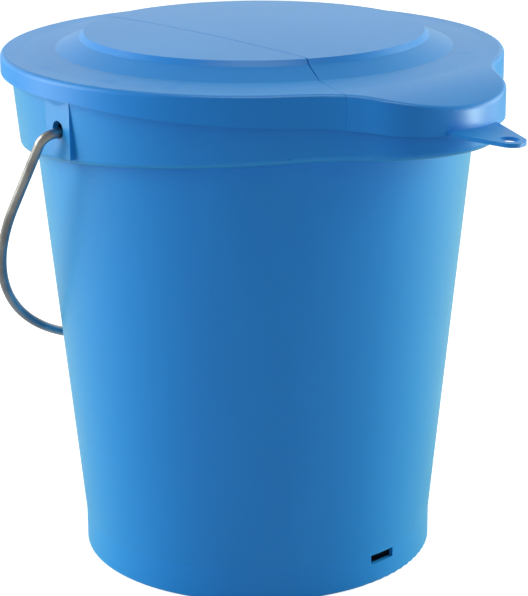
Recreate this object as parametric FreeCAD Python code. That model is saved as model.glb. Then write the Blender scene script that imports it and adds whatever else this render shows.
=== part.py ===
import FreeCAD, Part
import math
import os
from FreeCAD import Rotation, Vector

# Wash bucket with a pouring spout, a lift-off lid whose side flap folds up, and a bent-wire bail.
# Millimetres, +Z up. The origin is the middle of the foot ring, on the floor.
# The spout points to -Y, the bail swings about an axis along X and hangs at the back, towards +Y.

# ---- driving dimensions: bucket ------------------------------------------------------------------
BUCKET_HEIGHT = 336.5        # floor to the round part of the rim
FOOT_RADIUS = 117.5          # outside of the upright foot ring, where the tapered wall starts
FOOT_HEIGHT = 22.0           # floor to the underside of the raised bottom
FOOT_EDGE_ROUND = 1.5
BOTTOM_THICKNESS = 3.0
BOTTOM_CORNER_ROUND = 7.0    # inside, where the bottom meets the wall
WALL_THICKNESS = 3.0
WALL_DRAFT = 5.5             # degrees, wall and rim band alike

MOUTH_SHIFT = 2.1            # the mouth's middle stands this far behind the wall's axis
BAND_STANDOFF = 9.1          # the wide rim band's face, out from the line of the wall, at the rim
BAND_DEPTH = 51.1            # rim to the band's lower edge, on the handle axis
BAND_LEDGE_TILT = 4.8        # degrees, the lower edge climbs towards the spout
BAND_EDGE_ROUND = 4.0
RIM_BEAD_HEIGHT = 9.0          # at the round part; the bowed rim leaves less of it at the nose
RIM_BEAD_DEPTH = 2.2

# ---- driving dimensions: spout -------------------------------------------------------------------
SPOUT_OVERHANG = 40.0        # lip, past the round mouth, at the rim
SPOUT_FOOT_OVERHANG = 46.6   # the same, level with the band's lowest point
SPOUT_DROOP = 7.8            # the lip's lowest point, below the round part of the rim
SPOUT_NOSE_RADIUS = 57.8
SPOUT_CORNER_RADIUS = 45.8
SPOUT_CORNER_OFFSET = 6.7    # corner centre, sideways from the spout's middle
SPOUT_NECK_RADIUS = 87.2     # hollow curve between the round band and the spout

# ---- driving dimensions: drain slot in the foot ring ---------------------------------------------
SLOT_WIDTH = 20.5
SLOT_HEIGHT = 6.4
SLOT_ROOF_GAP = 2.0          # from the raised bottom down to the slot
SLOT_ANGLE = 4.1             # degrees from the spout's middle, towards +X

# ---- driving dimensions: bail and its ears -------------------------------------------------------
WIRE_DIAMETER = 6.2
EAR_HOLE_DIAMETER = 11.0
EAR_HOLE_BELOW_RIM = 29.8
EAR_WIDTH = 24.6
EAR_INSET = 1.5              # flat face of an ear, in from the band's radius at the rim
EAR_HEIGHT = 38.0
EAR_HOLE_ABOVE_FOOT = 17.0   # from the ear's lower edge to its hole
BAIL_REACH = 229.0           # pivot axis to the middle of the grip
BAIL_BEND_RADIUS = 8.0
HOOK_LENGTH = 13.0
HOOK_BEND_RADIUS = 6.0
HOOK_INSET = 3.4             # free space between a hook and the band's inner face

# ---- driving dimensions: lid ---------------------------------------------------------------------
LID_THICKNESS = 2.6
LID_SKIRT_DEPTH = 12.3       # top of the lid's edge to the skirt's lower rim, at the back
LID_SKIRT_DIP = 3.7          # degrees, the skirt's lower rim dips towards the spout
LID_DIP_START = 23.0         # from the handle axis to where the dip starts
LID_EDGE_ROUND = 3.0
LID_SLOPE_WIDTH = 15.5       # the slope between the flat flange and the disc's step
LID_SHOULDER_RISE = 1.2
LID_SLOPE_RISE = 6.4
DISC_RADIUS = 110.0
DISC_STEP = 3.4
DISC_STEP_LEAN = 3.0         # the step's face leans in by this much
DISC_CROWN = 2.0
TAB_THICKNESS = 2.5
TAB_BASE_WIDTH = 40.0
TAB_REACH = 27.2             # lid's nose to the middle of the hanging hole
TAB_END_RADIUS = 9.7
TAB_HOLE_DIAMETER = 11.0
FOLD_OFFSET = 42.0           # fold line, from the bucket's axis towards -X
FOLD_STRAIGHT = 98.0         # half the straight stretch, across the disc
FOLD_SPLAY = 18.0            # degrees, the slit turns outwards beyond the disc
FOLD_HINGE_LIFT = 0.4        # hinge line above the highest point of the fold

# ---- clearances ----------------------------------------------------------------------------------
SEAT_GAP = 0.3               # lid on rim, bail on wall, wire in the bottom of its hole
SKIRT_GAP = 0.9              # skirt around the rim bead
BAIL_SIDE_GAP = 0.6          # bail leg past the lid's skirt
FOLD_GAP = 0.6               # slit between the lid and its flap

# ---- worked out ----------------------------------------------------------------------------------
draft = math.tan(math.radians(WALL_DRAFT))
wire_radius = WIRE_DIAMETER / 2
bottom_top = FOOT_HEIGHT + BOTTOM_THICKNESS
rim_radius = FOOT_RADIUS + draft * (BUCKET_HEIGHT - FOOT_HEIGHT) + BAND_STANDOFF
spout_reach = rim_radius + SPOUT_OVERHANG
ear_face = rim_radius - EAR_INSET
ledge_height = BUCKET_HEIGHT - BAND_DEPTH
ledge_slope = math.tan(math.radians(BAND_LEDGE_TILT))
band_start = ledge_height - ledge_slope * (MOUTH_SHIFT + rim_radius) - BAND_EDGE_ROUND
level_radius = rim_radius - WALL_THICKNESS
lid_grow = SKIRT_GAP + RIM_BEAD_DEPTH + LID_THICKNESS
lid_under = BUCKET_HEIGHT + SEAT_GAP
lid_top = lid_under + LID_THICKNESS
slope_top_radius = DISC_RADIUS + DISC_STEP_LEAN
shoulder_radius = slope_top_radius + LID_SLOPE_WIDTH
skirt_slope = math.tan(math.radians(LID_SKIRT_DIP))
nose_y = MOUTH_SHIFT - spout_reach - lid_grow
tab_bottom = lid_top - LID_SKIRT_DEPTH + skirt_slope * (nose_y + LID_DIP_START)
skirt_radius = rim_radius + lid_grow
crown_top = lid_top + LID_SHOULDER_RISE + LID_SLOPE_RISE + DISC_STEP + DISC_CROWN

ear_hole_height = BUCKET_HEIGHT - EAR_HOLE_BELOW_RIM
pivot_height = ear_hole_height - EAR_HOLE_DIAMETER / 2 + wire_radius + SEAT_GAP
bail_half_width = skirt_radius + BAIL_SIDE_GAP + wire_radius


def wall_radius(height):
    """Outer radius of the tapered wall."""
    return FOOT_RADIUS + draft * (height - FOOT_HEIGHT)


def band_radius(height):
    """Outer radius of the round part of the rim band, about the middle of the mouth."""
    return rim_radius - draft * (BUCKET_HEIGHT - height)


def resting_angle():
    """Angle from straight down at which the hanging bail lies on the back of the wall."""
    slant = math.radians(WALL_DRAFT)
    reach_out = wall_radius(pivot_height) + (wire_radius + SEAT_GAP) / math.cos(slant)
    return math.degrees(math.asin(reach_out * math.cos(slant) / BAIL_REACH) - slant)


def outline(grow, height, drop=0.0):
    """Round mouth with the spout's lobe: six arcs, each tangent to the next.

    grow moves the outline outwards, and drop is how far below the rim its taper is taken.
    """
    radius = rim_radius - draft * drop
    lean = (SPOUT_OVERHANG - SPOUT_FOOT_OVERHANG) / (BUCKET_HEIGHT - band_start)
    reach = radius + SPOUT_OVERHANG - lean * drop
    middle = Vector(0, MOUTH_SHIFT, height)
    nose = Vector(0, MOUTH_SHIFT + SPOUT_NOSE_RADIUS - reach, height)
    spread = SPOUT_NOSE_RADIUS - SPOUT_CORNER_RADIUS
    corner_y = nose.y - math.sqrt(spread ** 2 - SPOUT_CORNER_OFFSET ** 2)
    corner = Vector(SPOUT_CORNER_OFFSET, corner_y, height)

    # The neck's centre lies one neck radius off the round mouth and off the corner.
    to_neck = radius + SPOUT_NECK_RADIUS
    corner_to_neck = SPOUT_CORNER_RADIUS + SPOUT_NECK_RADIUS
    span = math.hypot(corner.x, corner.y - MOUTH_SHIFT)
    along = (to_neck ** 2 - corner_to_neck ** 2 + span ** 2) / (2 * span)
    aside = math.sqrt(to_neck ** 2 - along ** 2)
    ux = corner.x / span
    uy = (corner.y - MOUTH_SHIFT) / span
    neck = Vector(ux * along - uy * aside, MOUTH_SHIFT + uy * along + ux * aside, height)

    def mirrored(point):
        return Vector(-point.x, point.y, point.z)

    def toward(start, end, length):
        step = Vector(end.x - start.x, end.y - start.y, 0)
        step.normalize()
        return Vector(start.x + step.x * length, start.y + step.y * length, height)

    outer_radius = radius + grow
    join = toward(middle, neck, outer_radius)
    corner_start = toward(corner, neck, SPOUT_CORNER_RADIUS + grow)
    corner_end = toward(nose, corner, SPOUT_NOSE_RADIUS + grow)
    neck_middle = toward(neck, Vector((join.x + corner_start.x) / 2, (join.y + corner_start.y) / 2, height),
                         SPOUT_NECK_RADIUS - grow)
    corner_middle = toward(corner, Vector((corner_start.x + corner_end.x) / 2,
                                          (corner_start.y + corner_end.y) / 2, height),
                           SPOUT_CORNER_RADIUS + grow)
    back = Vector(0, MOUTH_SHIFT + outer_radius, height)
    tip = Vector(0, MOUTH_SHIFT - reach - grow, height)
    arcs = [
        Part.Arc(join, back, mirrored(join)),
        Part.Arc(mirrored(join), mirrored(neck_middle), mirrored(corner_start)),
        Part.Arc(mirrored(corner_start), mirrored(corner_middle), mirrored(corner_end)),
        Part.Arc(mirrored(corner_end), tip, corner_end),
        Part.Arc(corner_end, corner_middle, corner_start),
        Part.Arc(corner_start, neck_middle, join),
    ]
    return Part.Wire([arc.toShape() for arc in arcs])


def bowed(top):
    """Block whose top is level at the back and bows down in front of the round rim, like the spout's lip."""
    size = 2 * spout_reach
    start_y = MOUTH_SHIFT - level_radius
    run = spout_reach + lid_grow - level_radius
    bow_radius = (run ** 2 + SPOUT_DROOP ** 2) / 2 / SPOUT_DROOP
    turn = math.asin(run / bow_radius) + math.asin(SPOUT_DROOP / bow_radius)

    def on_bow(angle):
        return Vector(-size, start_y - bow_radius * math.sin(angle), top - bow_radius * (1 - math.cos(angle)))
    end = on_bow(turn)
    corners = [end, Vector(-size, end.y, 0), Vector(-size, size, 0), Vector(-size, size, top), on_bow(0)]
    sides = [Part.makeLine(a, b) for a, b in zip(corners, corners[1:])]
    bow = Part.Arc(on_bow(0), on_bow(turn / 2), end).toShape()
    return Part.Face(Part.Wire(sides + [bow])).extrude(Vector(2 * size, 0, 0))


def prism(grow, low, high):
    """Upright solid with the mouth's outline at the rim, without the band's taper."""
    return Part.Face(outline(grow, low)).extrude(Vector(0, 0, high - low))


def above_plane(solid, height, tilt):
    """The part of a solid above a plane that is at height on the X axis and climbs towards +Y."""
    size = 4 * spout_reach
    block = Part.makeBox(size, size, size, Vector(-size / 2, -size / 2, 0))
    block.rotate(Vector(0, 0, 0), Vector(1, 0, 0), tilt)
    block.translate(Vector(0, 0, height))
    return solid.common(block)


def rounded(solid, radius, chosen):
    """Round the edges that the chosen test picks."""
    return solid.makeFillet(radius, [edge for edge in solid.Edges if chosen(edge)])


def at_height(height):
    """A test for edges that lie wholly at one height."""
    def test(edge):
        box = edge.BoundBox
        return abs(box.ZMin - height) < 0.01 and abs(box.ZMax - height) < 0.01
    return test


def band_solid(grow, lift, edge_round):
    """The rim band with its spout, filled in, above its tilted lower edge."""
    low = outline(grow, band_start, BUCKET_HEIGHT - band_start)
    high = outline(grow, BUCKET_HEIGHT)
    band = above_plane(Part.makeLoft([low, high], True, True), ledge_height + lift,
                       -BAND_LEDGE_TILT)

    def on_ledge(edge):
        for vertex in edge.Vertexes:
            plane = ledge_height + lift - ledge_slope * vertex.Y
            if abs(vertex.Z - plane) > 0.01:
                return False
        return True
    return rounded(band, edge_round, on_ledge)


def below_bow(solid, top):
    """The part of a solid under the rim's bowed surface, whose level part is at top."""
    return solid.common(bowed(top))


def make_ear(side):
    """Flat-faced pad on the band that carries one end of the bail."""
    deep = ear_face - band_radius(ledge_height) + 2 * WALL_THICKNESS
    low = ear_hole_height - EAR_HOLE_ABOVE_FOOT
    start = ear_face - deep if side > 0 else -ear_face
    return Part.makeBox(deep, EAR_WIDTH, EAR_HEIGHT, Vector(start, -EAR_WIDTH / 2, low))


def make_bucket():
    wall_top = wall_radius(BUCKET_HEIGHT - RIM_BEAD_HEIGHT)
    foot = rounded(Part.makeCylinder(FOOT_RADIUS, FOOT_HEIGHT), FOOT_EDGE_ROUND, at_height(0))
    wall = Part.makeCone(FOOT_RADIUS, wall_top, BUCKET_HEIGHT - RIM_BEAD_HEIGHT - FOOT_HEIGHT,
                         Vector(0, 0, FOOT_HEIGHT))
    bead = prism(RIM_BEAD_DEPTH, BUCKET_HEIGHT - RIM_BEAD_HEIGHT, BUCKET_HEIGHT)
    band = band_solid(0, 0, BAND_EDGE_ROUND)
    outside = foot.fuse([wall, band, bead, make_ear(1), make_ear(-1)])

    # The hollow follows the outside at one wall's thickness, right through the rim.
    hollow_low = wall_radius(bottom_top) - WALL_THICKNESS
    hollow_high = wall_radius(BUCKET_HEIGHT) - WALL_THICKNESS
    hollow = Part.makeCone(hollow_low, hollow_high, BUCKET_HEIGHT - bottom_top,
                           Vector(0, 0, bottom_top))
    hollow = rounded(hollow, BOTTOM_CORNER_ROUND, at_height(bottom_top))
    band_hollow = band_solid(-WALL_THICKNESS, WALL_THICKNESS, BAND_EDGE_ROUND - WALL_THICKNESS)
    recess = Part.makeCylinder(FOOT_RADIUS - WALL_THICKNESS, FOOT_HEIGHT)

    slot = Part.makeBox(SLOT_WIDTH, 4 * WALL_THICKNESS, SLOT_HEIGHT,
                        Vector(-SLOT_WIDTH / 2, -FOOT_RADIUS - 2 * WALL_THICKNESS,
                               FOOT_HEIGHT - SLOT_ROOF_GAP - SLOT_HEIGHT))
    slot.rotate(Vector(0, 0, 0), Vector(0, 0, 1), SLOT_ANGLE)
    bore = Part.makeCylinder(EAR_HOLE_DIAMETER / 2, 4 * rim_radius,
                             Vector(-2 * rim_radius, 0, ear_hole_height), Vector(1, 0, 0))
    return below_bow(outside.cut([hollow, band_hollow, recess, slot, bore]), BUCKET_HEIGHT)


def lid_profile(shift):
    """Half section of the lid's top, from the axis outwards, shifted down by the lid's thickness."""
    flange = level_radius - 2 * MOUTH_SHIFT - shift
    inward = shift / 2
    shoulder = lid_top + LID_SHOULDER_RISE - shift
    slope_top = shoulder + LID_SLOPE_RISE
    disc_edge = slope_top + DISC_STEP
    base = lid_top - 2 * LID_THICKNESS
    disc_radius = DISC_RADIUS - inward
    dome_radius = (disc_radius ** 2 + DISC_CROWN ** 2) / 2 / DISC_CROWN
    half_turn = math.asin(disc_radius / dome_radius) / 2
    crown = Part.Arc(Vector(0, 0, crown_top - shift),
                     Vector(dome_radius * math.sin(half_turn), 0,
                            crown_top - shift - dome_radius * (1 - math.cos(half_turn))),
                     Vector(disc_radius, 0, disc_edge))
    corners = [
        Vector(disc_radius, 0, disc_edge),
        Vector(slope_top_radius - inward, 0, slope_top),
        Vector(shoulder_radius - inward, 0, shoulder),
        Vector(flange, 0, lid_top - shift),
        Vector(flange, 0, base),
        Vector(0, 0, base),
        Vector(0, 0, crown_top - shift),
    ]
    sides = [Part.makeLine(a, b) for a, b in zip(corners, corners[1:])]
    face = Part.Face(Part.Wire([crown.toShape()] + sides))
    return face.revolve(Vector(0, 0, 0), Vector(0, 0, 1), 360)


def make_tab():
    """Flat tongue under the spout's nose, with the hanging hole."""
    hole_y = nose_y - TAB_REACH
    half = TAB_BASE_WIDTH / 2
    base_y = nose_y + SPOUT_CORNER_RADIUS / 2
    # Straight sides from the nose, tangent to the round end.
    lean = math.atan2(half, TAB_REACH) - math.asin(TAB_END_RADIUS / math.hypot(half, TAB_REACH))
    touch = Vector(TAB_END_RADIUS * math.cos(lean), hole_y - TAB_END_RADIUS * math.sin(lean),
                   tab_bottom)
    root = Vector(half, nose_y, tab_bottom)
    edges = [
        Part.makeLine(Vector(-half, base_y, tab_bottom), Vector(-half, nose_y, tab_bottom)),
        Part.makeLine(Vector(-half, nose_y, tab_bottom), Vector(-touch.x, touch.y, tab_bottom)),
        Part.Arc(Vector(-touch.x, touch.y, tab_bottom),
                 Vector(0, hole_y - TAB_END_RADIUS, tab_bottom), touch).toShape(),
        Part.makeLine(touch, root),
        Part.makeLine(root, Vector(half, base_y, tab_bottom)),
        Part.makeLine(Vector(half, base_y, tab_bottom), Vector(-half, base_y, tab_bottom)),
    ]
    tongue = Part.Face(Part.Wire(edges)).extrude(Vector(0, 0, TAB_THICKNESS))
    hole = Part.makeCylinder(TAB_HOLE_DIAMETER / 2, TAB_THICKNESS, Vector(0, hole_y, tab_bottom))
    tongue = tongue.cut(hole)
    tongue.rotate(Vector(0, nose_y, tab_bottom), Vector(1, 0, 0), LID_SKIRT_DIP)
    return tongue


def below_skirt():
    """All that lies under the skirt's lower rim, which is level at the back and dips to the spout."""
    size = 2 * spout_reach
    edge = lid_top - LID_SKIRT_DEPTH
    corners = [
        Vector(-size, size, edge),
        Vector(-size, -LID_DIP_START, edge),
        Vector(-size, -size, edge - skirt_slope * (size - LID_DIP_START)),
        Vector(-size, -size, 0),
        Vector(-size, size, 0),
        Vector(-size, size, edge),
    ]
    return Part.Face(Part.makePolygon(corners)).extrude(Vector(2 * size, 0, 0))


def make_whole_lid():
    """Lid and flap as one moulding, before the slit."""
    low = tab_bottom - TAB_THICKNESS
    cap = below_bow(prism(lid_grow, low, lid_top), lid_top)

    def on_edge(edge):
        """Edges round the top of the outline: not the upright ones, nor the line where the bow starts."""
        box = edge.BoundBox
        return box.ZMin > low + LID_EDGE_ROUND and box.YLength > LID_EDGE_ROUND
    cap = rounded(cap, LID_EDGE_ROUND, on_edge).cut(below_skirt())
    outside = cap.fuse([lid_profile(0), make_tab()])
    cavity = below_bow(prism(lid_grow - LID_THICKNESS, low, lid_under), lid_under)
    return outside.cut([cavity, lid_profile(LID_THICKNESS)])


def cut_at_fold(whole, towards):
    """The lid's moulding on one side of the slit: towards is 1 for the lid, -1 for the flap."""
    size = 3 * spout_reach
    edge = -FOLD_OFFSET + towards * FOLD_GAP / 2
    splayed = edge - (size - FOLD_STRAIGHT) * math.tan(math.radians(FOLD_SPLAY))
    corners = [
        Vector(splayed, -size, 0),
        Vector(edge, -FOLD_STRAIGHT, 0),
        Vector(edge, FOLD_STRAIGHT, 0),
        Vector(splayed, size, 0),
        Vector(towards * size, size, 0),
        Vector(towards * size, -size, 0),
        Vector(splayed, -size, 0),
    ]
    return whole.common(Part.Face(Part.makePolygon(corners)).extrude(Vector(0, 0, size)))


def make_bail():
    """Round wire bent to a wide arc with two legs, pins through the ears and hooks inside."""
    hook_x = band_radius(pivot_height) - WALL_THICKNESS - HOOK_INSET - wire_radius
    width = bail_half_width
    leg_length = BAIL_REACH - width

    def point(x, down):
        return Vector(x, 0, -down)

    def bend(x, down, in_x, in_down, out_x, out_down, radius):
        """Arc that rounds the corner at (x, down) between two runs at right angles."""
        start = point(x - in_x * radius, down - in_down * radius)
        end = point(x + out_x * radius, down + out_down * radius)
        slack = radius * (1 - math.sqrt(0.5))
        middle = point(x + (out_x - in_x) * slack, down + (out_down - in_down) * slack)
        return start, middle, end

    def half(side):
        """Hook, pin and leg on one side, from the hook's free end to the foot of the leg."""
        hook = bend(side * hook_x, 0, 0, 1, side, 0, HOOK_BEND_RADIUS)
        knee = bend(side * width, 0, side, 0, 0, 1, BAIL_BEND_RADIUS)
        tip = point(side * hook_x, -HOOK_LENGTH)
        foot = point(side * width, leg_length)
        return [
            Part.makeLine(tip, hook[0]),
            Part.Arc(*hook).toShape(),
            Part.makeLine(hook[2], knee[0]),
            Part.Arc(*knee).toShape(),
            Part.makeLine(knee[2], foot),
        ]

    # The grip is half a circle that carries straight on from both legs.
    grip = Part.Arc(point(-width, leg_length), point(0, BAIL_REACH), point(width, leg_length)).toShape()
    path = Part.Wire(half(-1) + [grip] + half(1)[::-1])
    start = point(-hook_x, -HOOK_LENGTH)
    section = Part.Wire(Part.makeCircle(wire_radius, start, Vector(0, 0, -1)))
    wire = path.makePipeShell([section], True, False)
    wire.rotate(Vector(0, 0, 0), Vector(1, 0, 0), resting_angle())
    wire.translate(Vector(0, 0, pivot_height))
    return wire


def main():
    os.makedirs("parts", exist_ok=True)
    whole_lid = make_whole_lid()
    nodes = {
        "bucket": make_bucket(),
        "lid": cut_at_fold(whole_lid, 1),
        "lid_flap": cut_at_fold(whole_lid, -1),
        "bail": make_bail(),
    }
    for name, shape in nodes.items():
        box = shape.BoundBox
        print("%-9s solids %d valid %s volume %.1f cm3  x %.2f..%.2f  y %.2f..%.2f  z %.2f..%.2f" % (
            name, len(shape.Solids), shape.isValid(), shape.Volume / 1000,
            box.XMin, box.XMax, box.YMin, box.YMax, box.ZMin, box.ZMax))
        shape.exportStep("parts/" + name + ".step")
    tab_top = tab_bottom + TAB_THICKNESS
    on_tab = math.degrees(math.asin((tab_top + wire_radius + SEAT_GAP - pivot_height) / BAIL_REACH))
    print("bail pivot at z %.3f, hangs %.3f deg from straight down, reaches the tab after %.2f deg" % (
        pivot_height, resting_angle(), 270 - resting_angle() - on_tab))
    print("fold hinge at x %.3f z %.3f" % (-FOLD_OFFSET, crown_top + FOLD_HINGE_LIFT))


main()
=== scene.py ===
# %% [markdown]
# # A wash bucket with a spout, a folding lid and a wire bail
# This file dresses a finished CAD model. The model is loaded as a fixed frame of four rigid pieces:
# the bucket, the larger part of its lid, the lid's folding side and the bail. Each step below makes one
# piece or one finish. It says what the thing is on the real object, how it could be made, and why
# this way was chosen. Lengths are in metres, as everywhere in Blender. A size that is easier to read
# in millimetres is written as a number times MM.
# %% Load the frame
import math

import bpy
import numpy as np
from mathutils import Matrix, Vector


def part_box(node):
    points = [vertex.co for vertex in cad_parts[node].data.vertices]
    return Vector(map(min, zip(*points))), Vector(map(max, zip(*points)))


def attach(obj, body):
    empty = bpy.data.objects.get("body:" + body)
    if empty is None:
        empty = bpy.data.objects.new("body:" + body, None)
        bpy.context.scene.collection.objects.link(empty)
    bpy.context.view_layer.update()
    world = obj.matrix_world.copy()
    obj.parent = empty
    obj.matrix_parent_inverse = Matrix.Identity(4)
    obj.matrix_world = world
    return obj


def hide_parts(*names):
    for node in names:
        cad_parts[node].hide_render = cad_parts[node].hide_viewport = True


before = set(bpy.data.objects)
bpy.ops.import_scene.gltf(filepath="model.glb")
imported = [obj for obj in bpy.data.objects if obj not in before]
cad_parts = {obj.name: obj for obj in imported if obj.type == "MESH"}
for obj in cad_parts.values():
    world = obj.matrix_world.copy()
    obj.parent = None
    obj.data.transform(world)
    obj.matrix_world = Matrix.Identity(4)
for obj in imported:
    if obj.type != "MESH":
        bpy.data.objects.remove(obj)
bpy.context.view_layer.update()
scene = bpy.context.scene
MM = 0.001
print("nodes:", sorted(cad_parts))

# %% [markdown]
# ## Camera
# The object is seen from the side of its spout and its left ear, a little above the rim. From there
# the lid's top, the whole wall and the bail all show. A long lens far away keeps upright lines upright.
# The camera could be aimed with a constraint, but three turns in a fixed order are easier to
# read: first the heading, then the pitch, then a very small roll. The lens shift moves
# the picture sideways and up without turning the camera, as a technical camera does.
# %% Camera
SENSOR_WIDTH = 36.0
CAMERA_BEARING = math.radians(39.707)
CAMERA_DISTANCE = 1.3436
CAMERA_HEIGHT = 0.58782
CAMERA_PITCH = 0.29761
CAMERA_ROLL = -0.00759
FOCAL_LENGTH = 126.614
LENS_SHIFT = (0.01350, -0.01900)

camera_data = bpy.data.cameras.new("camera")
camera_data.sensor_width = SENSOR_WIDTH
camera_data.lens = FOCAL_LENGTH
camera_data.shift_x, camera_data.shift_y = LENS_SHIFT
camera = bpy.data.objects.new("camera", camera_data)
scene.collection.objects.link(camera)
camera.location = (
    -CAMERA_DISTANCE * math.sin(CAMERA_BEARING),
    -CAMERA_DISTANCE * math.cos(CAMERA_BEARING),
    CAMERA_HEIGHT,
)
camera.rotation_euler = (
    Matrix.Rotation(-CAMERA_BEARING, 3, "Z")
    @ Matrix.Rotation(math.pi / 2 - CAMERA_PITCH, 3, "X")
    @ Matrix.Rotation(CAMERA_ROLL, 3, "Z")
).to_euler()
scene.camera = camera
scene.view_settings.view_transform = "Standard"
print("camera at", [round(value, 3) for value in camera.location])

# %% [markdown]
# ## Small helpers for node trees
# A material is a graph of nodes. These helpers add a node with its settings, join two sockets,
# and do arithmetic, so that each material further down reads as a short list of steps.
# A number goes straight onto the socket, and only something that changes over the surface gets a wire.
# The Mix node has one set of sockets for each kind of value, all with the same names, so its colour
# sockets are picked by their place in the list.
# %% Helpers for node trees
MIX_SHARE, MIX_FIRST_COLOUR, MIX_SECOND_COLOUR, MIX_COLOUR_RESULT = 0, 6, 7, 2
SPECKLE_RANGE = (0.3, 0.7)  # a Noise texture spends nearly all its values between these


def plug(tree, value, socket):
    """Joins an output to a socket, or writes a plain value on it."""
    if isinstance(value, bpy.types.NodeSocket):
        tree.links.new(value, socket)
    else:
        socket.default_value = value


def add_node(tree, kind, settings=None, **sockets):
    """A new node, with its own settings and its named sockets filled."""
    made = tree.nodes.new(kind)
    for name, value in (settings or {}).items():
        setattr(made, name, value)
    for name, value in sockets.items():
        plug(tree, value, made.inputs[name.replace("_", " ")])
    return made


def calculate(tree, operation, *values):
    """The result of one Math node."""
    made = tree.nodes.new("ShaderNodeMath")
    made.operation = operation
    for place, value in enumerate(values):
        plug(tree, value, made.inputs[place])
    return made.outputs[0]


def rescale(tree, value, from_low, from_high, to_low, to_high):
    """A value moved smoothly from one range to another, and held at the ends."""
    made = add_node(
        tree, "ShaderNodeMapRange", {"interpolation_type": "SMOOTHSTEP"},
        Value=value, From_Min=from_low, From_Max=from_high, To_Min=to_low, To_Max=to_high,
    )
    return made.outputs["Result"]


def stretched(tree, vector, scale, turn=(0.0, 0.0, 0.0)):
    """Coordinates turned, and scaled by a different amount along each axis."""
    made = add_node(tree, "ShaderNodeMapping", Vector=vector, Rotation=turn, Scale=scale)
    return made.outputs["Vector"]


def speckle(tree, vector, scale, detail=2.0):
    """A Noise texture's value between 0 and 1."""
    made = add_node(tree, "ShaderNodeTexNoise", Vector=vector, Scale=scale, Detail=detail)
    return made.outputs[0]


def blend(tree, share, first, second):
    """A colour between two colours: the first at a share of 0, the second at 1."""
    made = add_node(tree, "ShaderNodeMix", {"data_type": "RGBA"})
    plug(tree, share, made.inputs[MIX_SHARE])
    plug(tree, first, made.inputs[MIX_FIRST_COLOUR])
    plug(tree, second, made.inputs[MIX_SECOND_COLOUR])
    return made.outputs[MIX_COLOUR_RESULT]


def between(tree, value, low, high):
    """A speckle spread over the range from low to high."""
    return rescale(tree, value, *SPECKLE_RANGE, low, high)


def new_material(name):
    """A material with an empty tree."""
    made = bpy.data.materials.new(name)
    made.use_nodes = True
    made.node_tree.nodes.clear()
    return made


def new_group(name, inputs, outputs):
    """A shader node group, its tree, its input sockets and its output node."""
    tree = bpy.data.node_groups.new(name, "ShaderNodeTree")
    for socket_name, kind, default in inputs:
        socket = tree.interface.new_socket(socket_name, in_out="INPUT", socket_type="NodeSocket" + kind)
        if default is not None:
            socket.default_value = default
    for socket_name, kind in outputs:
        tree.interface.new_socket(socket_name, in_out="OUTPUT", socket_type="NodeSocket" + kind)
    return tree, tree.nodes.new("NodeGroupInput").outputs, tree.nodes.new("NodeGroupOutput").inputs


def use_group(tree, group, **sockets):
    """A placed group with its named inputs filled."""
    return add_node(tree, "ShaderNodeGroup", {"node_tree": group}, **sockets)


print("helpers ready")

# %% [markdown]
# ## Floor and backdrop
# The bucket stands on a pale, plain studio floor that runs out of the picture on all sides. A curved
# paper sweep would do as well, but the camera looks down so far that it only ever sees the floor.
# It glows of its own, as back-lit white acrylic does in a product studio. The glow is only there for the
# camera, so that it keeps the picture's ground white without lighting the wall from below, and it stops
# inside the foot ring, where the drain slot would otherwise look lit up.
# %% Floor and backdrop
FLOOR_HALF_SIZE = 12.0
FLOOR_WHITE = (0.62, 0.62, 0.62, 1.0)
FLOOR_GLOW = 0.75
FLOOR_MOTTLE = 9.0
FLOOR_DULL = (0.82, 0.92)
FOOT_RING_INSIDE = 0.110
FOOT_RING_OUTSIDE = 0.116


def make_floor():
    """One large square, with a finish that is barely uneven, so that it isn't a flat colour."""
    data = bpy.data.meshes.new("floor")
    edge = FLOOR_HALF_SIZE
    corners = [(-edge, -edge, 0), (edge, -edge, 0), (edge, edge, 0), (-edge, edge, 0)]
    data.from_pydata(corners, [], [(0, 1, 2, 3)])
    floor = bpy.data.objects.new("floor", data)
    scene.collection.objects.link(floor)
    acrylic = new_material("floor_acrylic")
    tree = acrylic.node_tree
    place = tree.nodes.new("ShaderNodeTexCoord").outputs["Object"]
    dull = between(tree, speckle(tree, place, FLOOR_MOTTLE), *FLOOR_DULL)
    seen = tree.nodes.new("ShaderNodeLightPath").outputs["Is Camera Ray"]
    away = add_node(tree, "ShaderNodeVectorMath", {"operation": "LENGTH"})
    tree.links.new(place, away.inputs[0])
    outside = rescale(tree, away.outputs["Value"], FOOT_RING_INSIDE, FOOT_RING_OUTSIDE, 0.0, 1.0)
    glow = calculate(tree, "MULTIPLY", calculate(tree, "MULTIPLY", seen, outside), FLOOR_GLOW)
    shader = add_node(
        tree, "ShaderNodeBsdfPrincipled", Base_Color=FLOOR_WHITE, Roughness=dull,
        Emission_Color=(1, 1, 1, 1), Emission_Strength=glow,
    )
    add_node(tree, "ShaderNodeOutputMaterial", Surface=shader.outputs[0])
    data.materials.append(acrylic)
    return floor


floor = make_floor()
print(floor.name, FLOOR_HALF_SIZE * 2, "m square")

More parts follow.
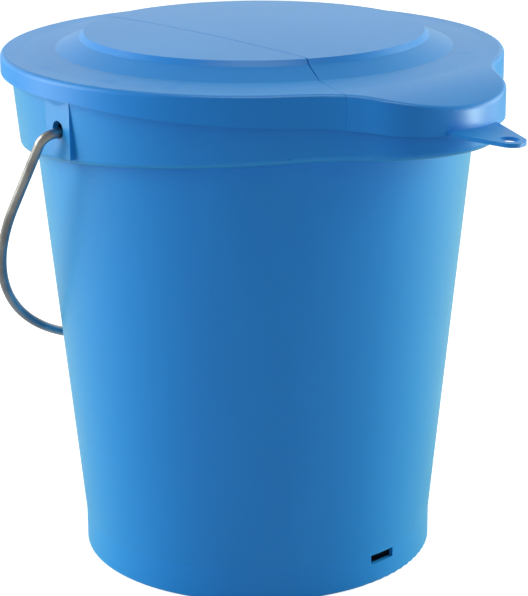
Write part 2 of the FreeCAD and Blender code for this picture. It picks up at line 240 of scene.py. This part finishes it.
# %% [markdown]
# ## Studio light
# Glossy plastic shows its surroundings, so the room matters as much as the lamps. The room is
# bright behind the bucket and dim on the camera's side. That gives the long dark
# band down the middle of the wall and the pale sheen on the lid's top, which is seen
# at a low angle. Two upright soft boxes light the left and right of the wall, one hangs overhead,
# and a small strip stands low beside the spout. The camera looks down, so an upright face
# mirrors what is low in the room, and only a low lamp puts a highlight on the spout's corner.
# The room is a gradient over the direction, not a picture, so it stays smooth everywhere.
# %% Studio light
ROOM_FRONT = 0.42
ROOM_BACK = 1.08
ROOM_CEILING = 0.34
ROOM_LIFT = 0.35              # how far the brightest direction points upwards
FACING_RANGE = (-0.7, 0.9)    # from straight at the camera's side to straight behind the bucket
HEIGHT_RANGE = (0.30, 0.85)   # where the walls fade into the ceiling


def make_room():
    """A world that goes from dim, on the camera's side, to bright behind the bucket."""
    world = bpy.data.worlds.new("studio")
    world.use_nodes = True
    tree = world.node_tree
    tree.nodes.clear()
    direction = tree.nodes.new("ShaderNodeTexCoord").outputs["Generated"]
    away = (math.sin(CAMERA_BEARING), math.cos(CAMERA_BEARING), ROOM_LIFT)
    facing = add_node(tree, "ShaderNodeVectorMath", {"operation": "DOT_PRODUCT"})
    tree.links.new(direction, facing.inputs[0])
    facing.inputs[1].default_value = Vector(away).normalized()
    level = rescale(tree, facing.outputs["Value"], *FACING_RANGE, ROOM_FRONT, ROOM_BACK)
    height = add_node(tree, "ShaderNodeSeparateXYZ", Vector=direction).outputs["Z"]
    overhead = rescale(tree, height, *HEIGHT_RANGE, 1.0, ROOM_CEILING)
    strength = calculate(tree, "MULTIPLY", level, overhead)
    background = add_node(tree, "ShaderNodeBackground", Color=(1, 1, 1, 1), Strength=strength)
    add_node(tree, "ShaderNodeOutputWorld", Surface=background.outputs[0])
    return world


def around(bearing, distance, height):
    """A place at a bearing from the camera's own direction, positive to the camera's right."""
    turn = math.atan2(camera.location.y, camera.location.x) + math.radians(bearing)
    return (distance * math.cos(turn), distance * math.sin(turn), height)


def softbox(name, place, target, size, watts, colour=(1, 1, 1)):
    """A rectangular lamp that looks at a target."""
    data = bpy.data.lights.new(name, "AREA")
    data.shape = "RECTANGLE"
    data.size, data.size_y = size
    data.energy = watts
    data.color = colour
    lamp = bpy.data.objects.new(name, data)
    scene.collection.objects.link(lamp)
    lamp.location = place
    lamp.rotation_euler = (Vector(target) - Vector(place)).to_track_quat("-Z", "Y").to_euler()
    return lamp


scene.world = make_room()
BODY_MIDDLE = (0, 0, 0.17)
SPOUT_CORNER = (0, -0.16, 0.32)
DISC_MIDDLE = (0, 0, 0.35)
softbox("left_softbox", around(bearing=-95, distance=1.6, height=0.6), BODY_MIDDLE,
        size=(1.0, 1.6), watts=27, colour=(0.95, 1.0, 0.93))
softbox("right_softbox", around(bearing=103, distance=1.6, height=0.55), BODY_MIDDLE,
        size=(1.1, 1.5), watts=27, colour=(0.9, 1.0, 0.82))
spout_strip = softbox("spout_strip", around(bearing=69, distance=0.62, height=0.27), SPOUT_CORNER,
                      size=(0.11, 0.11), watts=2.2, colour=(0.8, 1.0, 0.9))
spout_strip.visible_diffuse = False
softbox("top_softbox", (0, 0, 2.2), BODY_MIDDLE, size=(2.0, 2.0), watts=2)
# The disc's leaning edge mirrors a spot almost straight overhead, on the camera's side.
edge_light = softbox("disc_edge_light", around(bearing=0, distance=0.35, height=2.0), DISC_MIDDLE,
                     size=(0.9, 0.45), watts=14, colour=(0.82, 1.0, 0.95))
edge_light.visible_diffuse = False

# %% [markdown]
# ## Shared effects on moulded plastic
# Three things break up a moulded surface: grain, flow and rubs. Each could be typed out again in every
# material, but a group with named inputs lets the bucket, the lid and the flap share one recipe with
# their own amounts. The first is the **grain**. The steel mould is spark-eroded or polished by hand,
# which leaves a fine grain, and the plastic shrinks unevenly as it cools, so wide faces wander by a
# few hundredths of a millimetre. Two Noise textures of very different size are added into one height.
# %% Group: moulded grain
def make_grain_group():
    """Height and tone of the fine grain on slow waves."""
    tree, given, result = new_group(
        "moulded_grain",
        inputs=[("Vector", "Vector", None), ("Grain Size", "Float", 0.0005),
                ("Wave Size", "Float", 0.03), ("Grain Share", "Float", 0.02)],
        outputs=[("Height", "Float"), ("Tone", "Float")],
    )
    grain_scale = calculate(tree, "DIVIDE", 1.0, given["Grain Size"])
    wave_scale = calculate(tree, "DIVIDE", 1.0, given["Wave Size"])
    fine = speckle(tree, given["Vector"], grain_scale, 1.0)
    wide = speckle(tree, given["Vector"], wave_scale, 1.0)
    share = calculate(tree, "MULTIPLY", fine, given["Grain Share"])
    tree.links.new(calculate(tree, "ADD", wide, share), result["Height"])
    tree.links.new(fine, result["Tone"])
    return tree


moulded_grain = make_grain_group()
print("group", moulded_grain.name)

# %% [markdown]
# ## Flow of the melt
# The melt enters at one gate and runs up the wall, so the colour drifts very slightly, in patches that
# are longer than they are wide. A gradient from the gate would be too regular, so the drift is a
# broad speckle, stretched along the way the melt runs.
# %% Group: flow of the melt
FLOW_SCALE = 1.6
FLOW_DETAIL = 3.0


def make_flow_group():
    """A slow drift between two tones."""
    tree, given, result = new_group(
        "melt_flow",
        inputs=[("Vector", "Vector", None), ("Stretch", "Vector", (6.0, 6.0, 2.0))],
        outputs=[("Tone", "Float")],
    )
    along_flow = stretched(tree, given["Vector"], given["Stretch"])
    broad = speckle(tree, along_flow, FLOW_SCALE, FLOW_DETAIL)
    tree.links.new(between(tree, broad, 0.0, 1.0), result["Tone"])
    return tree


melt_flow = make_flow_group()
print("group", melt_flow.name)

# %% [markdown]
# ## Rubs from handling
# Use leaves faint rubs, long and thin, that only show in the gloss. They could be painted by hand, but
# a speckle stretched into lines, kept only where a second and much larger speckle is high, puts
# a few of them in loose patches all over.
# %% Group: rubs from handling
RUB_TURN = (0.35, 0.2, 0.5)
RUB_CUT = (0.70, 0.78)
PATCH_SCALE = 11.0
PATCH_CUT = (0.50, 0.68)


def make_rub_group():
    """A mask of thin rubs in loose patches."""
    tree, given, result = new_group(
        "handling_rubs",
        inputs=[("Vector", "Vector", None), ("Along", "Vector", (60.0, 60.0, 900.0)),
                ("Amount", "Float", 0.5)],
        outputs=[("Mask", "Float")],
    )
    drawn_out = stretched(tree, given["Vector"], given["Along"], RUB_TURN)
    lines = rescale(tree, speckle(tree, drawn_out, 1.0, 0.0), *RUB_CUT, 0.0, 1.0)
    patches = rescale(tree, speckle(tree, given["Vector"], PATCH_SCALE, 1.0), *PATCH_CUT, 0.0, 1.0)
    both = calculate(tree, "MULTIPLY", lines, patches)
    tree.links.new(calculate(tree, "MULTIPLY", both, given["Amount"]), result["Mask"])
    return tree


handling_rubs = make_rub_group()
print("group", handling_rubs.name)

# %% [markdown]
# ## Blue polypropylene
# Food-grade polypropylene is coloured right through, half glossy and waxy. Light goes a little way into
# it and out again, which a small subsurface share would show at a high price in render time. None is
# used here. Instead a paler, greener blue is painted into the colour where the surface turns away from
# the camera. This painted sheen stands in for the light rims and cyan reflections along the wall's sides
# and over the lid.
# The bucket, lid and flap come from one batch of pellets but from different moulds, so each gets its own
# grain and gloss.
# %% Blue polypropylene
BLUE_DEEP = (0.006, 0.246, 0.815, 1)
BLUE_LIGHT = (0.008, 0.274, 0.865, 1)
# Painted sheen: the paler, greener blue that is mixed in at grazing angles, with the blend and the
# largest share of the mix.
BLUE_PAINTED_SHEEN = (0.06, 0.44, 0.58, 1)
PAINTED_SHEEN_BLEND = 0.25
PAINTED_SHEEN_MOST = 0.55
GRAIN_SHARE = 0.035
RUB_DULLS = 0.12
RUB_SINKS = 0.02
PLASTIC_IOR = 1.49
PLASTIC_SHINE = 0.38


def make_plastic(name, dullness, grain_size, wave_size, depth, rub_amount, painted_sheen):
    """Blue plastic, with its roughness from the first to the second number of dullness."""
    made = new_material(name)
    tree = made.node_tree
    place = tree.nodes.new("ShaderNodeTexCoord").outputs["Object"]
    grain = use_group(tree, moulded_grain, Vector=place, Grain_Size=grain_size,
                      Wave_Size=wave_size, Grain_Share=GRAIN_SHARE)
    flow = use_group(tree, melt_flow, Vector=place)
    rubs = use_group(tree, handling_rubs, Vector=place, Amount=rub_amount)

    # Painted sheen: the colour turns towards the paler, greener blue where the surface is seen at a
    # grazing angle, in place of light rims and reflections.
    turn = add_node(tree, "ShaderNodeLayerWeight", Blend=PAINTED_SHEEN_BLEND)
    painted_sheen_share = calculate(tree, "MULTIPLY", turn.outputs["Facing"], painted_sheen)
    painted_sheen_share = calculate(tree, "MINIMUM", painted_sheen_share, PAINTED_SHEEN_MOST)
    colour = blend(tree, flow.outputs["Tone"], BLUE_DEEP, BLUE_LIGHT)
    colour = blend(tree, painted_sheen_share, colour, BLUE_PAINTED_SHEEN)

    dull = between(tree, grain.outputs["Tone"], *dullness)
    dull = calculate(tree, "ADD", dull, calculate(tree, "MULTIPLY", rubs.outputs["Mask"], RUB_DULLS))
    sunk = calculate(tree, "MULTIPLY", rubs.outputs["Mask"], RUB_SINKS)
    height = calculate(tree, "SUBTRACT", grain.outputs["Height"], sunk)
    bump = add_node(tree, "ShaderNodeBump", Strength=1.0, Distance=depth, Height=height)
    shader = add_node(
        tree, "ShaderNodeBsdfPrincipled", Base_Color=colour, Roughness=dull, IOR=PLASTIC_IOR,
        Specular_IOR_Level=PLASTIC_SHINE, Normal=bump.outputs[0],
    )
    add_node(tree, "ShaderNodeOutputMaterial", Surface=shader.outputs[0])
    print("plastic", name, "roughness", dullness)
    return made


bucket_blue = make_plastic(
    "bucket_blue", dullness=(0.29, 0.38), grain_size=0.5 * MM, wave_size=35.0 * MM,
    depth=0.20 * MM, rub_amount=0.6, painted_sheen=0.95)
lid_blue = make_plastic(
    "lid_blue", dullness=(0.35, 0.44), grain_size=0.4 * MM, wave_size=45.0 * MM,
    depth=0.18 * MM, rub_amount=0.5, painted_sheen=0.40)

for node_name, plastic in (("bucket", bucket_blue), ("lid", lid_blue), ("lid_flap", lid_blue)):
    node_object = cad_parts[node_name]
    node_object.data.materials.clear()
    node_object.data.materials.append(plastic)

# %% [markdown]
# ## The fold's slit
# Lid and flap are one moulding with a hair-fine line where it folds. The CAD model keeps an open slit
# between the two, so that they can move, and from this near the slit reads as a dark groove. A
# new lid mesh could be drawn from nothing, but the CAD surface is exact, so a copy of it is enough:
# its points on the two cut faces step towards each other until a fine line is left. The copy is
# merged first, because the CAD mesh is loose triangles, and then takes its shading directions back
# from the CAD mesh.
# %% The fold's slit
FOLD_LINE_X = -42.0 * MM
FOLD_STRAIGHT_HALF = 98.0 * MM
FOLD_SPLAY_SLOPE = math.tan(math.radians(18.0))
SLIT_HALF = 0.30 * MM
SLIT_REACH = 0.06 * MM        # points this near a cut face belong to it
FINE_HALF_TOP = 0.36 * MM     # on the disc, where the line shows as a shallow groove
FINE_HALF_SKIRT = 0.03 * MM   # on the skirt, where it hardly shows
SKIRT_TOP = 336.0 * MM
DISC_TOP = 345.0 * MM
MERGE_STEP = 0.002 * MM


def slit_distance(x, y):
    """Signed distance from the middle of the slit, positive on the lid's side, and the way across it."""
    if abs(y) <= FOLD_STRAIGHT_HALF:
        return x - FOLD_LINE_X, Vector((1.0, 0.0, 0.0))
    side = math.copysign(1.0, y)
    across = Vector((1.0, side * FOLD_SPLAY_SLOPE, 0.0)).normalized()
    away = Vector((x - FOLD_LINE_X, y - side * FOLD_STRAIGHT_HALF, 0.0))
    return away.dot(across), across


def merged_copy(node_name):
    """A copy of a CAD node with its points merged and each face corner's shading direction kept."""
    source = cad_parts[node_name].data
    points = np.empty(len(source.vertices) * 3)
    source.vertices.foreach_get("co", points)
    points = points.reshape(-1, 3)
    corner_points = np.empty(len(source.loops), dtype=int)
    source.loops.foreach_get("vertex_index", corner_points)
    directions = np.empty(len(source.loops) * 3)
    source.corner_normals.foreach_get("vector", directions)
    directions = directions.reshape(-1, 3, 3)
    _, first, where = np.unique(
        np.round(points / MERGE_STEP).astype(int), axis=0, return_index=True, return_inverse=True)
    faces = where.reshape(-1)[corner_points].reshape(-1, 3)
    whole = (faces[:, 0] != faces[:, 1]) & (faces[:, 1] != faces[:, 2]) & (faces[:, 2] != faces[:, 0])
    return points[first], faces[whole], directions[whole].reshape(-1, 3)


def close_slit(node_name):
    """A merged copy of a node whose cut faces stand closer to the middle of the slit."""
    points, faces, directions = merged_copy(node_name)
    moved = 0
    for point in points:
        distance, across = slit_distance(point[0], point[1])
        if abs(abs(distance) - SLIT_HALF) > SLIT_REACH:
            continue
        share = min(max((point[2] - SKIRT_TOP) / (DISC_TOP - SKIRT_TOP), 0.0), 1.0)
        target = FINE_HALF_SKIRT + share * (FINE_HALF_TOP - FINE_HALF_SKIRT)
        point += np.array(across) * (math.copysign(target, distance) - distance)
        moved += 1
    data = bpy.data.meshes.new(node_name + "_shell")
    data.from_pydata(points.tolist(), [], faces.tolist())
    data.polygons.foreach_set("use_smooth", np.ones(len(faces), dtype=bool))
    data.normals_split_custom_set(directions.tolist())
    piece = bpy.data.objects.new(node_name + "_shell", data)
    scene.collection.objects.link(piece)
    return piece, moved


for node_name, body in (("lid", "lid"), ("lid_flap", "lid_flap")):
    shell, moved = close_slit(node_name)
    shell.data.materials.append(lid_blue)
    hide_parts(node_name)
    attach(shell, body)
    print(shell.name, "faces", len(shell.data.polygons), "points moved", moved)

# %% [markdown]
# ## Lamps that light one piece only
# In a studio a small lamp is shaded with black card, so that it only reaches the face that needs a
# highlight. Light linking is the same thing: the low strip reaches the lid's larger part, and the
# overhead spot reaches both parts of the lid. Without it, the strip would leave a second, false
# highlight on the wall under the spout.
# %% Lamps that light one piece only
def shade_lamp(lamp, *receivers):
    """The lamp reaches only the receivers."""
    group = bpy.data.collections.new(lamp.name + "_receivers")
    for receiver in receivers:
        group.objects.link(receiver)
    lamp.light_linking.receiver_collection = group
    print(lamp.name, "reaches", [receiver.name for receiver in receivers])


shade_lamp(spout_strip, scene.objects["lid_shell"])
shade_lamp(edge_light, scene.objects["lid_shell"], scene.objects["lid_flap_shell"])

# %% [markdown]
# ## Drawn steel for the bail
# Stainless wire is pulled through a die, which leaves fine lines along its length, and it is
# then tumbled to a satin finish. The lines follow the wire around every bend. A pattern on Object
# coordinates would cut straight across them, so the wire carries two attributes of its own:
# how far along it a point is, and where on its round section.
# %% Drawn steel
STEEL_DARK = (0.24, 0.235, 0.23, 1)
STEEL_LIGHT = (0.40, 0.385, 0.37, 1)
LINE_STRETCH = (22.0, 2600.0, 2600.0)
CLOUD_STRETCH = (45.0, 90.0, 90.0)
LINE_RANGE = (0.25, 0.75)
LINE_DULL = (0.27, 0.40)
LINE_DEPTH = 0.04 * MM
CLOUD_DULLS = 0.06


def make_drawn_steel():
    """Satin wire, with its lines along the wire."""
    made = new_material("drawn_steel")
    tree = made.node_tree
    along = add_node(tree, "ShaderNodeAttribute", {"attribute_name": "along_wire"}).outputs["Fac"]
    section = add_node(tree, "ShaderNodeAttribute", {"attribute_name": "wire_section"})
    split = add_node(tree, "ShaderNodeSeparateXYZ", Vector=section.outputs["Vector"])
    wire_place = add_node(
        tree, "ShaderNodeCombineXYZ", X=along, Y=split.outputs["X"], Z=split.outputs["Y"]).outputs[0]
    lines = speckle(tree, stretched(tree, wire_place, LINE_STRETCH), 1.0, 2.0)
    cloud = speckle(tree, stretched(tree, wire_place, CLOUD_STRETCH), 1.0, 3.0)

    steel = blend(tree, between(tree, cloud, 0.0, 1.0), STEEL_DARK, STEEL_LIGHT)
    line_dull = rescale(tree, lines, *LINE_RANGE, *LINE_DULL)
    dull = calculate(tree, "ADD", line_dull, calculate(tree, "MULTIPLY", cloud, CLOUD_DULLS))
    bump = add_node(tree, "ShaderNodeBump", Strength=1.0, Distance=LINE_DEPTH, Height=lines)
    shader = add_node(
        tree, "ShaderNodeBsdfPrincipled", Base_Color=steel, Metallic=1.0, Roughness=dull,
        Normal=bump.outputs[0],
    )
    add_node(tree, "ShaderNodeOutputMaterial", Surface=shader.outputs[0])
    return made


drawn_steel = make_drawn_steel()
print("steel", drawn_steel.name)

# %% [markdown]
# ## Bail
# The bail is one length of round wire with eight corners: the two hook ends inside the bucket, the
# two hooks, the two knees outside the ears, and the two lower corners. The lower corners are so
# round that they meet and make the half circle of the grip. It could be a swept curve
# drawn by hand, but the shape follows a rule, so Geometry Nodes make it: eight points, one
# radius for each corner, and a round section along the result.
# %% Bail sizes
WIRE_RADIUS = 3.1 * MM
BAIL_HALF_WIDTH = 166.283 * MM
BAIL_REACH = 229.0 * MM
BAIL_KNEE_RADIUS = 8.0 * MM
HOOK_HALF_WIDTH = 144.31 * MM
HOOK_LENGTH = 13.0 * MM
HOOK_RADIUS = 6.0 * MM
PIVOT_HEIGHT = 304.6 * MM
CORNER_STEPS = 40
SECTION_STEPS = 28
# The two lower corners meet in the middle, and a hair less keeps the points from meeting exactly.
ALMOST_WHOLE = 0.9998
bail_low, bail_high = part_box("bail")
print("bail node", [round(v, 4) for v in bail_low], [round(v, 4) for v in bail_high])
# The wire hangs against the back of the bucket, so its lowest point gives the angle it rests at.
drop = PIVOT_HEIGHT - bail_low.z - WIRE_RADIUS
BAIL_REST_ANGLE = math.acos(drop / BAIL_REACH)
BAIL_SIZES = {
    "Half Width": BAIL_HALF_WIDTH, "Reach": BAIL_REACH, "Hook Half Width": HOOK_HALF_WIDTH,
    "Hook Length": HOOK_LENGTH, "Knee Radius": BAIL_KNEE_RADIUS, "Hook Radius": HOOK_RADIUS,
    "Wire Radius": WIRE_RADIUS, "Rest Angle": BAIL_REST_ANGLE, "Pivot Height": PIVOT_HEIGHT,
}
print("bail rests", round(math.degrees(BAIL_REST_ANGLE), 2), "degrees from straight down")

# %% [markdown]
# ## The wire's node tree
# The corners lie on a straight row of points that is moved into place, and each corner carries its own
# radius as an attribute, so that one Fillet Curve node can bend them all. The distance along
# the wire and the place on its section are stored before the sweep, and the steel above reads both.
# %% The wire's node tree
def by_index(tree, kind, values):
    """A field that gives each point the value with its own number."""
    switch = tree.nodes.new("GeometryNodeIndexSwitch")
    switch.data_type = kind
    while len(switch.index_switch_items) < len(values):
        switch.index_switch_items.new()
    tree.links.new(tree.nodes.new("GeometryNodeInputIndex").outputs[0], switch.inputs["Index"])
    for number, value in enumerate(values):
        plug(tree, value, switch.inputs[number + 1])
    return switch.outputs[0]


def store(tree, kind, geometry, name, value):
    """The geometry with one more named attribute on its points."""
    stored = add_node(
        tree, "GeometryNodeStoreNamedAttribute", {"data_type": kind, "domain": "POINT"},
        Geometry=geometry, Name=name, Value=value)
    return stored.outputs[0]


def make_bail_tree(sizes):
    """The bail, bent from eight corners and swept with a round section."""
    tree = bpy.data.node_groups.new("bent_wire_bail", "GeometryNodeTree")
    for name, default in sizes.items():
        socket = tree.interface.new_socket(name, in_out="INPUT", socket_type="NodeSocketFloat")
        socket.default_value = default
    tree.interface.new_socket("Material", in_out="INPUT", socket_type="NodeSocketMaterial")
    tree.interface.new_socket("Geometry", in_out="OUTPUT", socket_type="NodeSocketGeometry")
    given = tree.nodes.new("NodeGroupInput").outputs
    result = tree.nodes.new("NodeGroupOutput").inputs

    def minus(value):
        return calculate(tree, "MULTIPLY", value, -1.0)

    wide, hook = given["Half Width"], given["Hook Half Width"]
    low, high = minus(given["Reach"]), given["Hook Length"]
    places = [(minus(hook), high), (minus(hook), 0.0), (minus(wide), 0.0), (minus(wide), low),
              (wide, low), (wide, 0.0), (hook, 0.0), (hook, high)]
    almost_half = calculate(tree, "MULTIPLY", wide, ALMOST_WHOLE)
    radii = [0.0, given["Hook Radius"], given["Knee Radius"], almost_half,
             almost_half, given["Knee Radius"], given["Hook Radius"], 0.0]

    corners = [add_node(tree, "ShaderNodeCombineXYZ", X=x, Y=0.0, Z=z).outputs[0] for x, z in places]
    line = add_node(
        tree, "GeometryNodeMeshLine", {"mode": "OFFSET"}, Count=len(places), Offset=(1, 0, 0))
    bent = add_node(
        tree, "GeometryNodeSetPosition", Geometry=line.outputs[0],
        Position=by_index(tree, "VECTOR", corners))
    marked = store(tree, "FLOAT", bent.outputs[0], "corner_radius", by_index(tree, "FLOAT", radii))
    path = add_node(tree, "GeometryNodeMeshToCurve", Mesh=marked)
    corner = add_node(
        tree, "GeometryNodeInputNamedAttribute", {"data_type": "FLOAT"}, Name="corner_radius")
    rounded = add_node(
        tree, "GeometryNodeFilletCurve", {"mode": "POLY"}, Curve=path.outputs[0],
        Radius=corner.outputs[0], Count=CORNER_STEPS)
    length = tree.nodes.new("GeometryNodeSplineParameter").outputs["Length"]
    measured = store(tree, "FLOAT", rounded.outputs[0], "along_wire", length)
    circle = add_node(
        tree, "GeometryNodeCurvePrimitiveCircle", Resolution=SECTION_STEPS, Radius=given["Wire Radius"])
    where = tree.nodes.new("GeometryNodeInputPosition").outputs[0]
    section = store(tree, "FLOAT_VECTOR", circle.outputs[0], "wire_section", where)
    swept = add_node(
        tree, "GeometryNodeCurveToMesh", Curve=measured, Profile_Curve=section, Fill_Caps=True)
    turned = add_node(
        tree, "GeometryNodeTransform", Geometry=swept.outputs[0],
        Rotation=add_node(tree, "ShaderNodeCombineXYZ", X=given["Rest Angle"]).outputs[0],
        Translation=add_node(tree, "ShaderNodeCombineXYZ", Z=given["Pivot Height"]).outputs[0])
    real = add_node(tree, "GeometryNodeRealizeInstances", Geometry=turned.outputs[0])
    finished = add_node(
        tree, "GeometryNodeSetMaterial", Geometry=real.outputs[0], Material=given["Material"])
    tree.links.new(finished.outputs[0], result["Geometry"])
    return tree


def fill_inputs(modifier, values):
    """Writes a modifier's inputs by their socket's identifier."""
    for item in modifier.node_group.interface.items_tree:
        if item.in_out == "INPUT" and item.name in values:
            modifier[item.identifier] = values[item.name]


bail_tree = make_bail_tree(BAIL_SIZES)
print("bail tree with", len(bail_tree.nodes), "nodes")

# %% [markdown]
# ## The finished bail
# The tree runs as a modifier on an empty mesh. A modifier could stay on the piece, but a baked copy is
# plain mesh that any program can read. Its caps keep a crisp edge, and the rest is shaded smooth.
# %% Bail
SMOOTH_UP_TO_DEGREES = 50


def bake_modifiers(name, holder):
    """The holder's evaluated mesh as a plain object of its own."""
    graph = bpy.context.evaluated_depsgraph_get()
    data = bpy.data.meshes.new_from_object(holder.evaluated_get(graph))
    data.name = name
    made = bpy.data.objects.new(name, data)
    scene.collection.objects.link(made)
    bpy.data.objects.remove(holder)
    return made


def smooth_faces(piece, angle):
    """Smooth shading, with edges sharper than the angle kept crisp."""
    data = piece.data
    data.polygons.foreach_set("use_smooth", np.ones(len(data.polygons), dtype=bool))
    data.set_sharp_from_angle(angle=math.radians(angle))


bail_holder = bpy.data.objects.new("bail_holder", bpy.data.meshes.new("bail_holder"))
scene.collection.objects.link(bail_holder)
bail_modifier = bail_holder.modifiers.new("bent_wire", "NODES")
bail_modifier.node_group = bail_tree
fill_inputs(bail_modifier, {**BAIL_SIZES, "Material": drawn_steel})
bail_wire = bake_modifiers("bail_wire", bail_holder)
smooth_faces(bail_wire, SMOOTH_UP_TO_DEGREES)
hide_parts("bail")
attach(bail_wire, "bail")
print("bail wire", len(bail_wire.data.polygons), "faces")
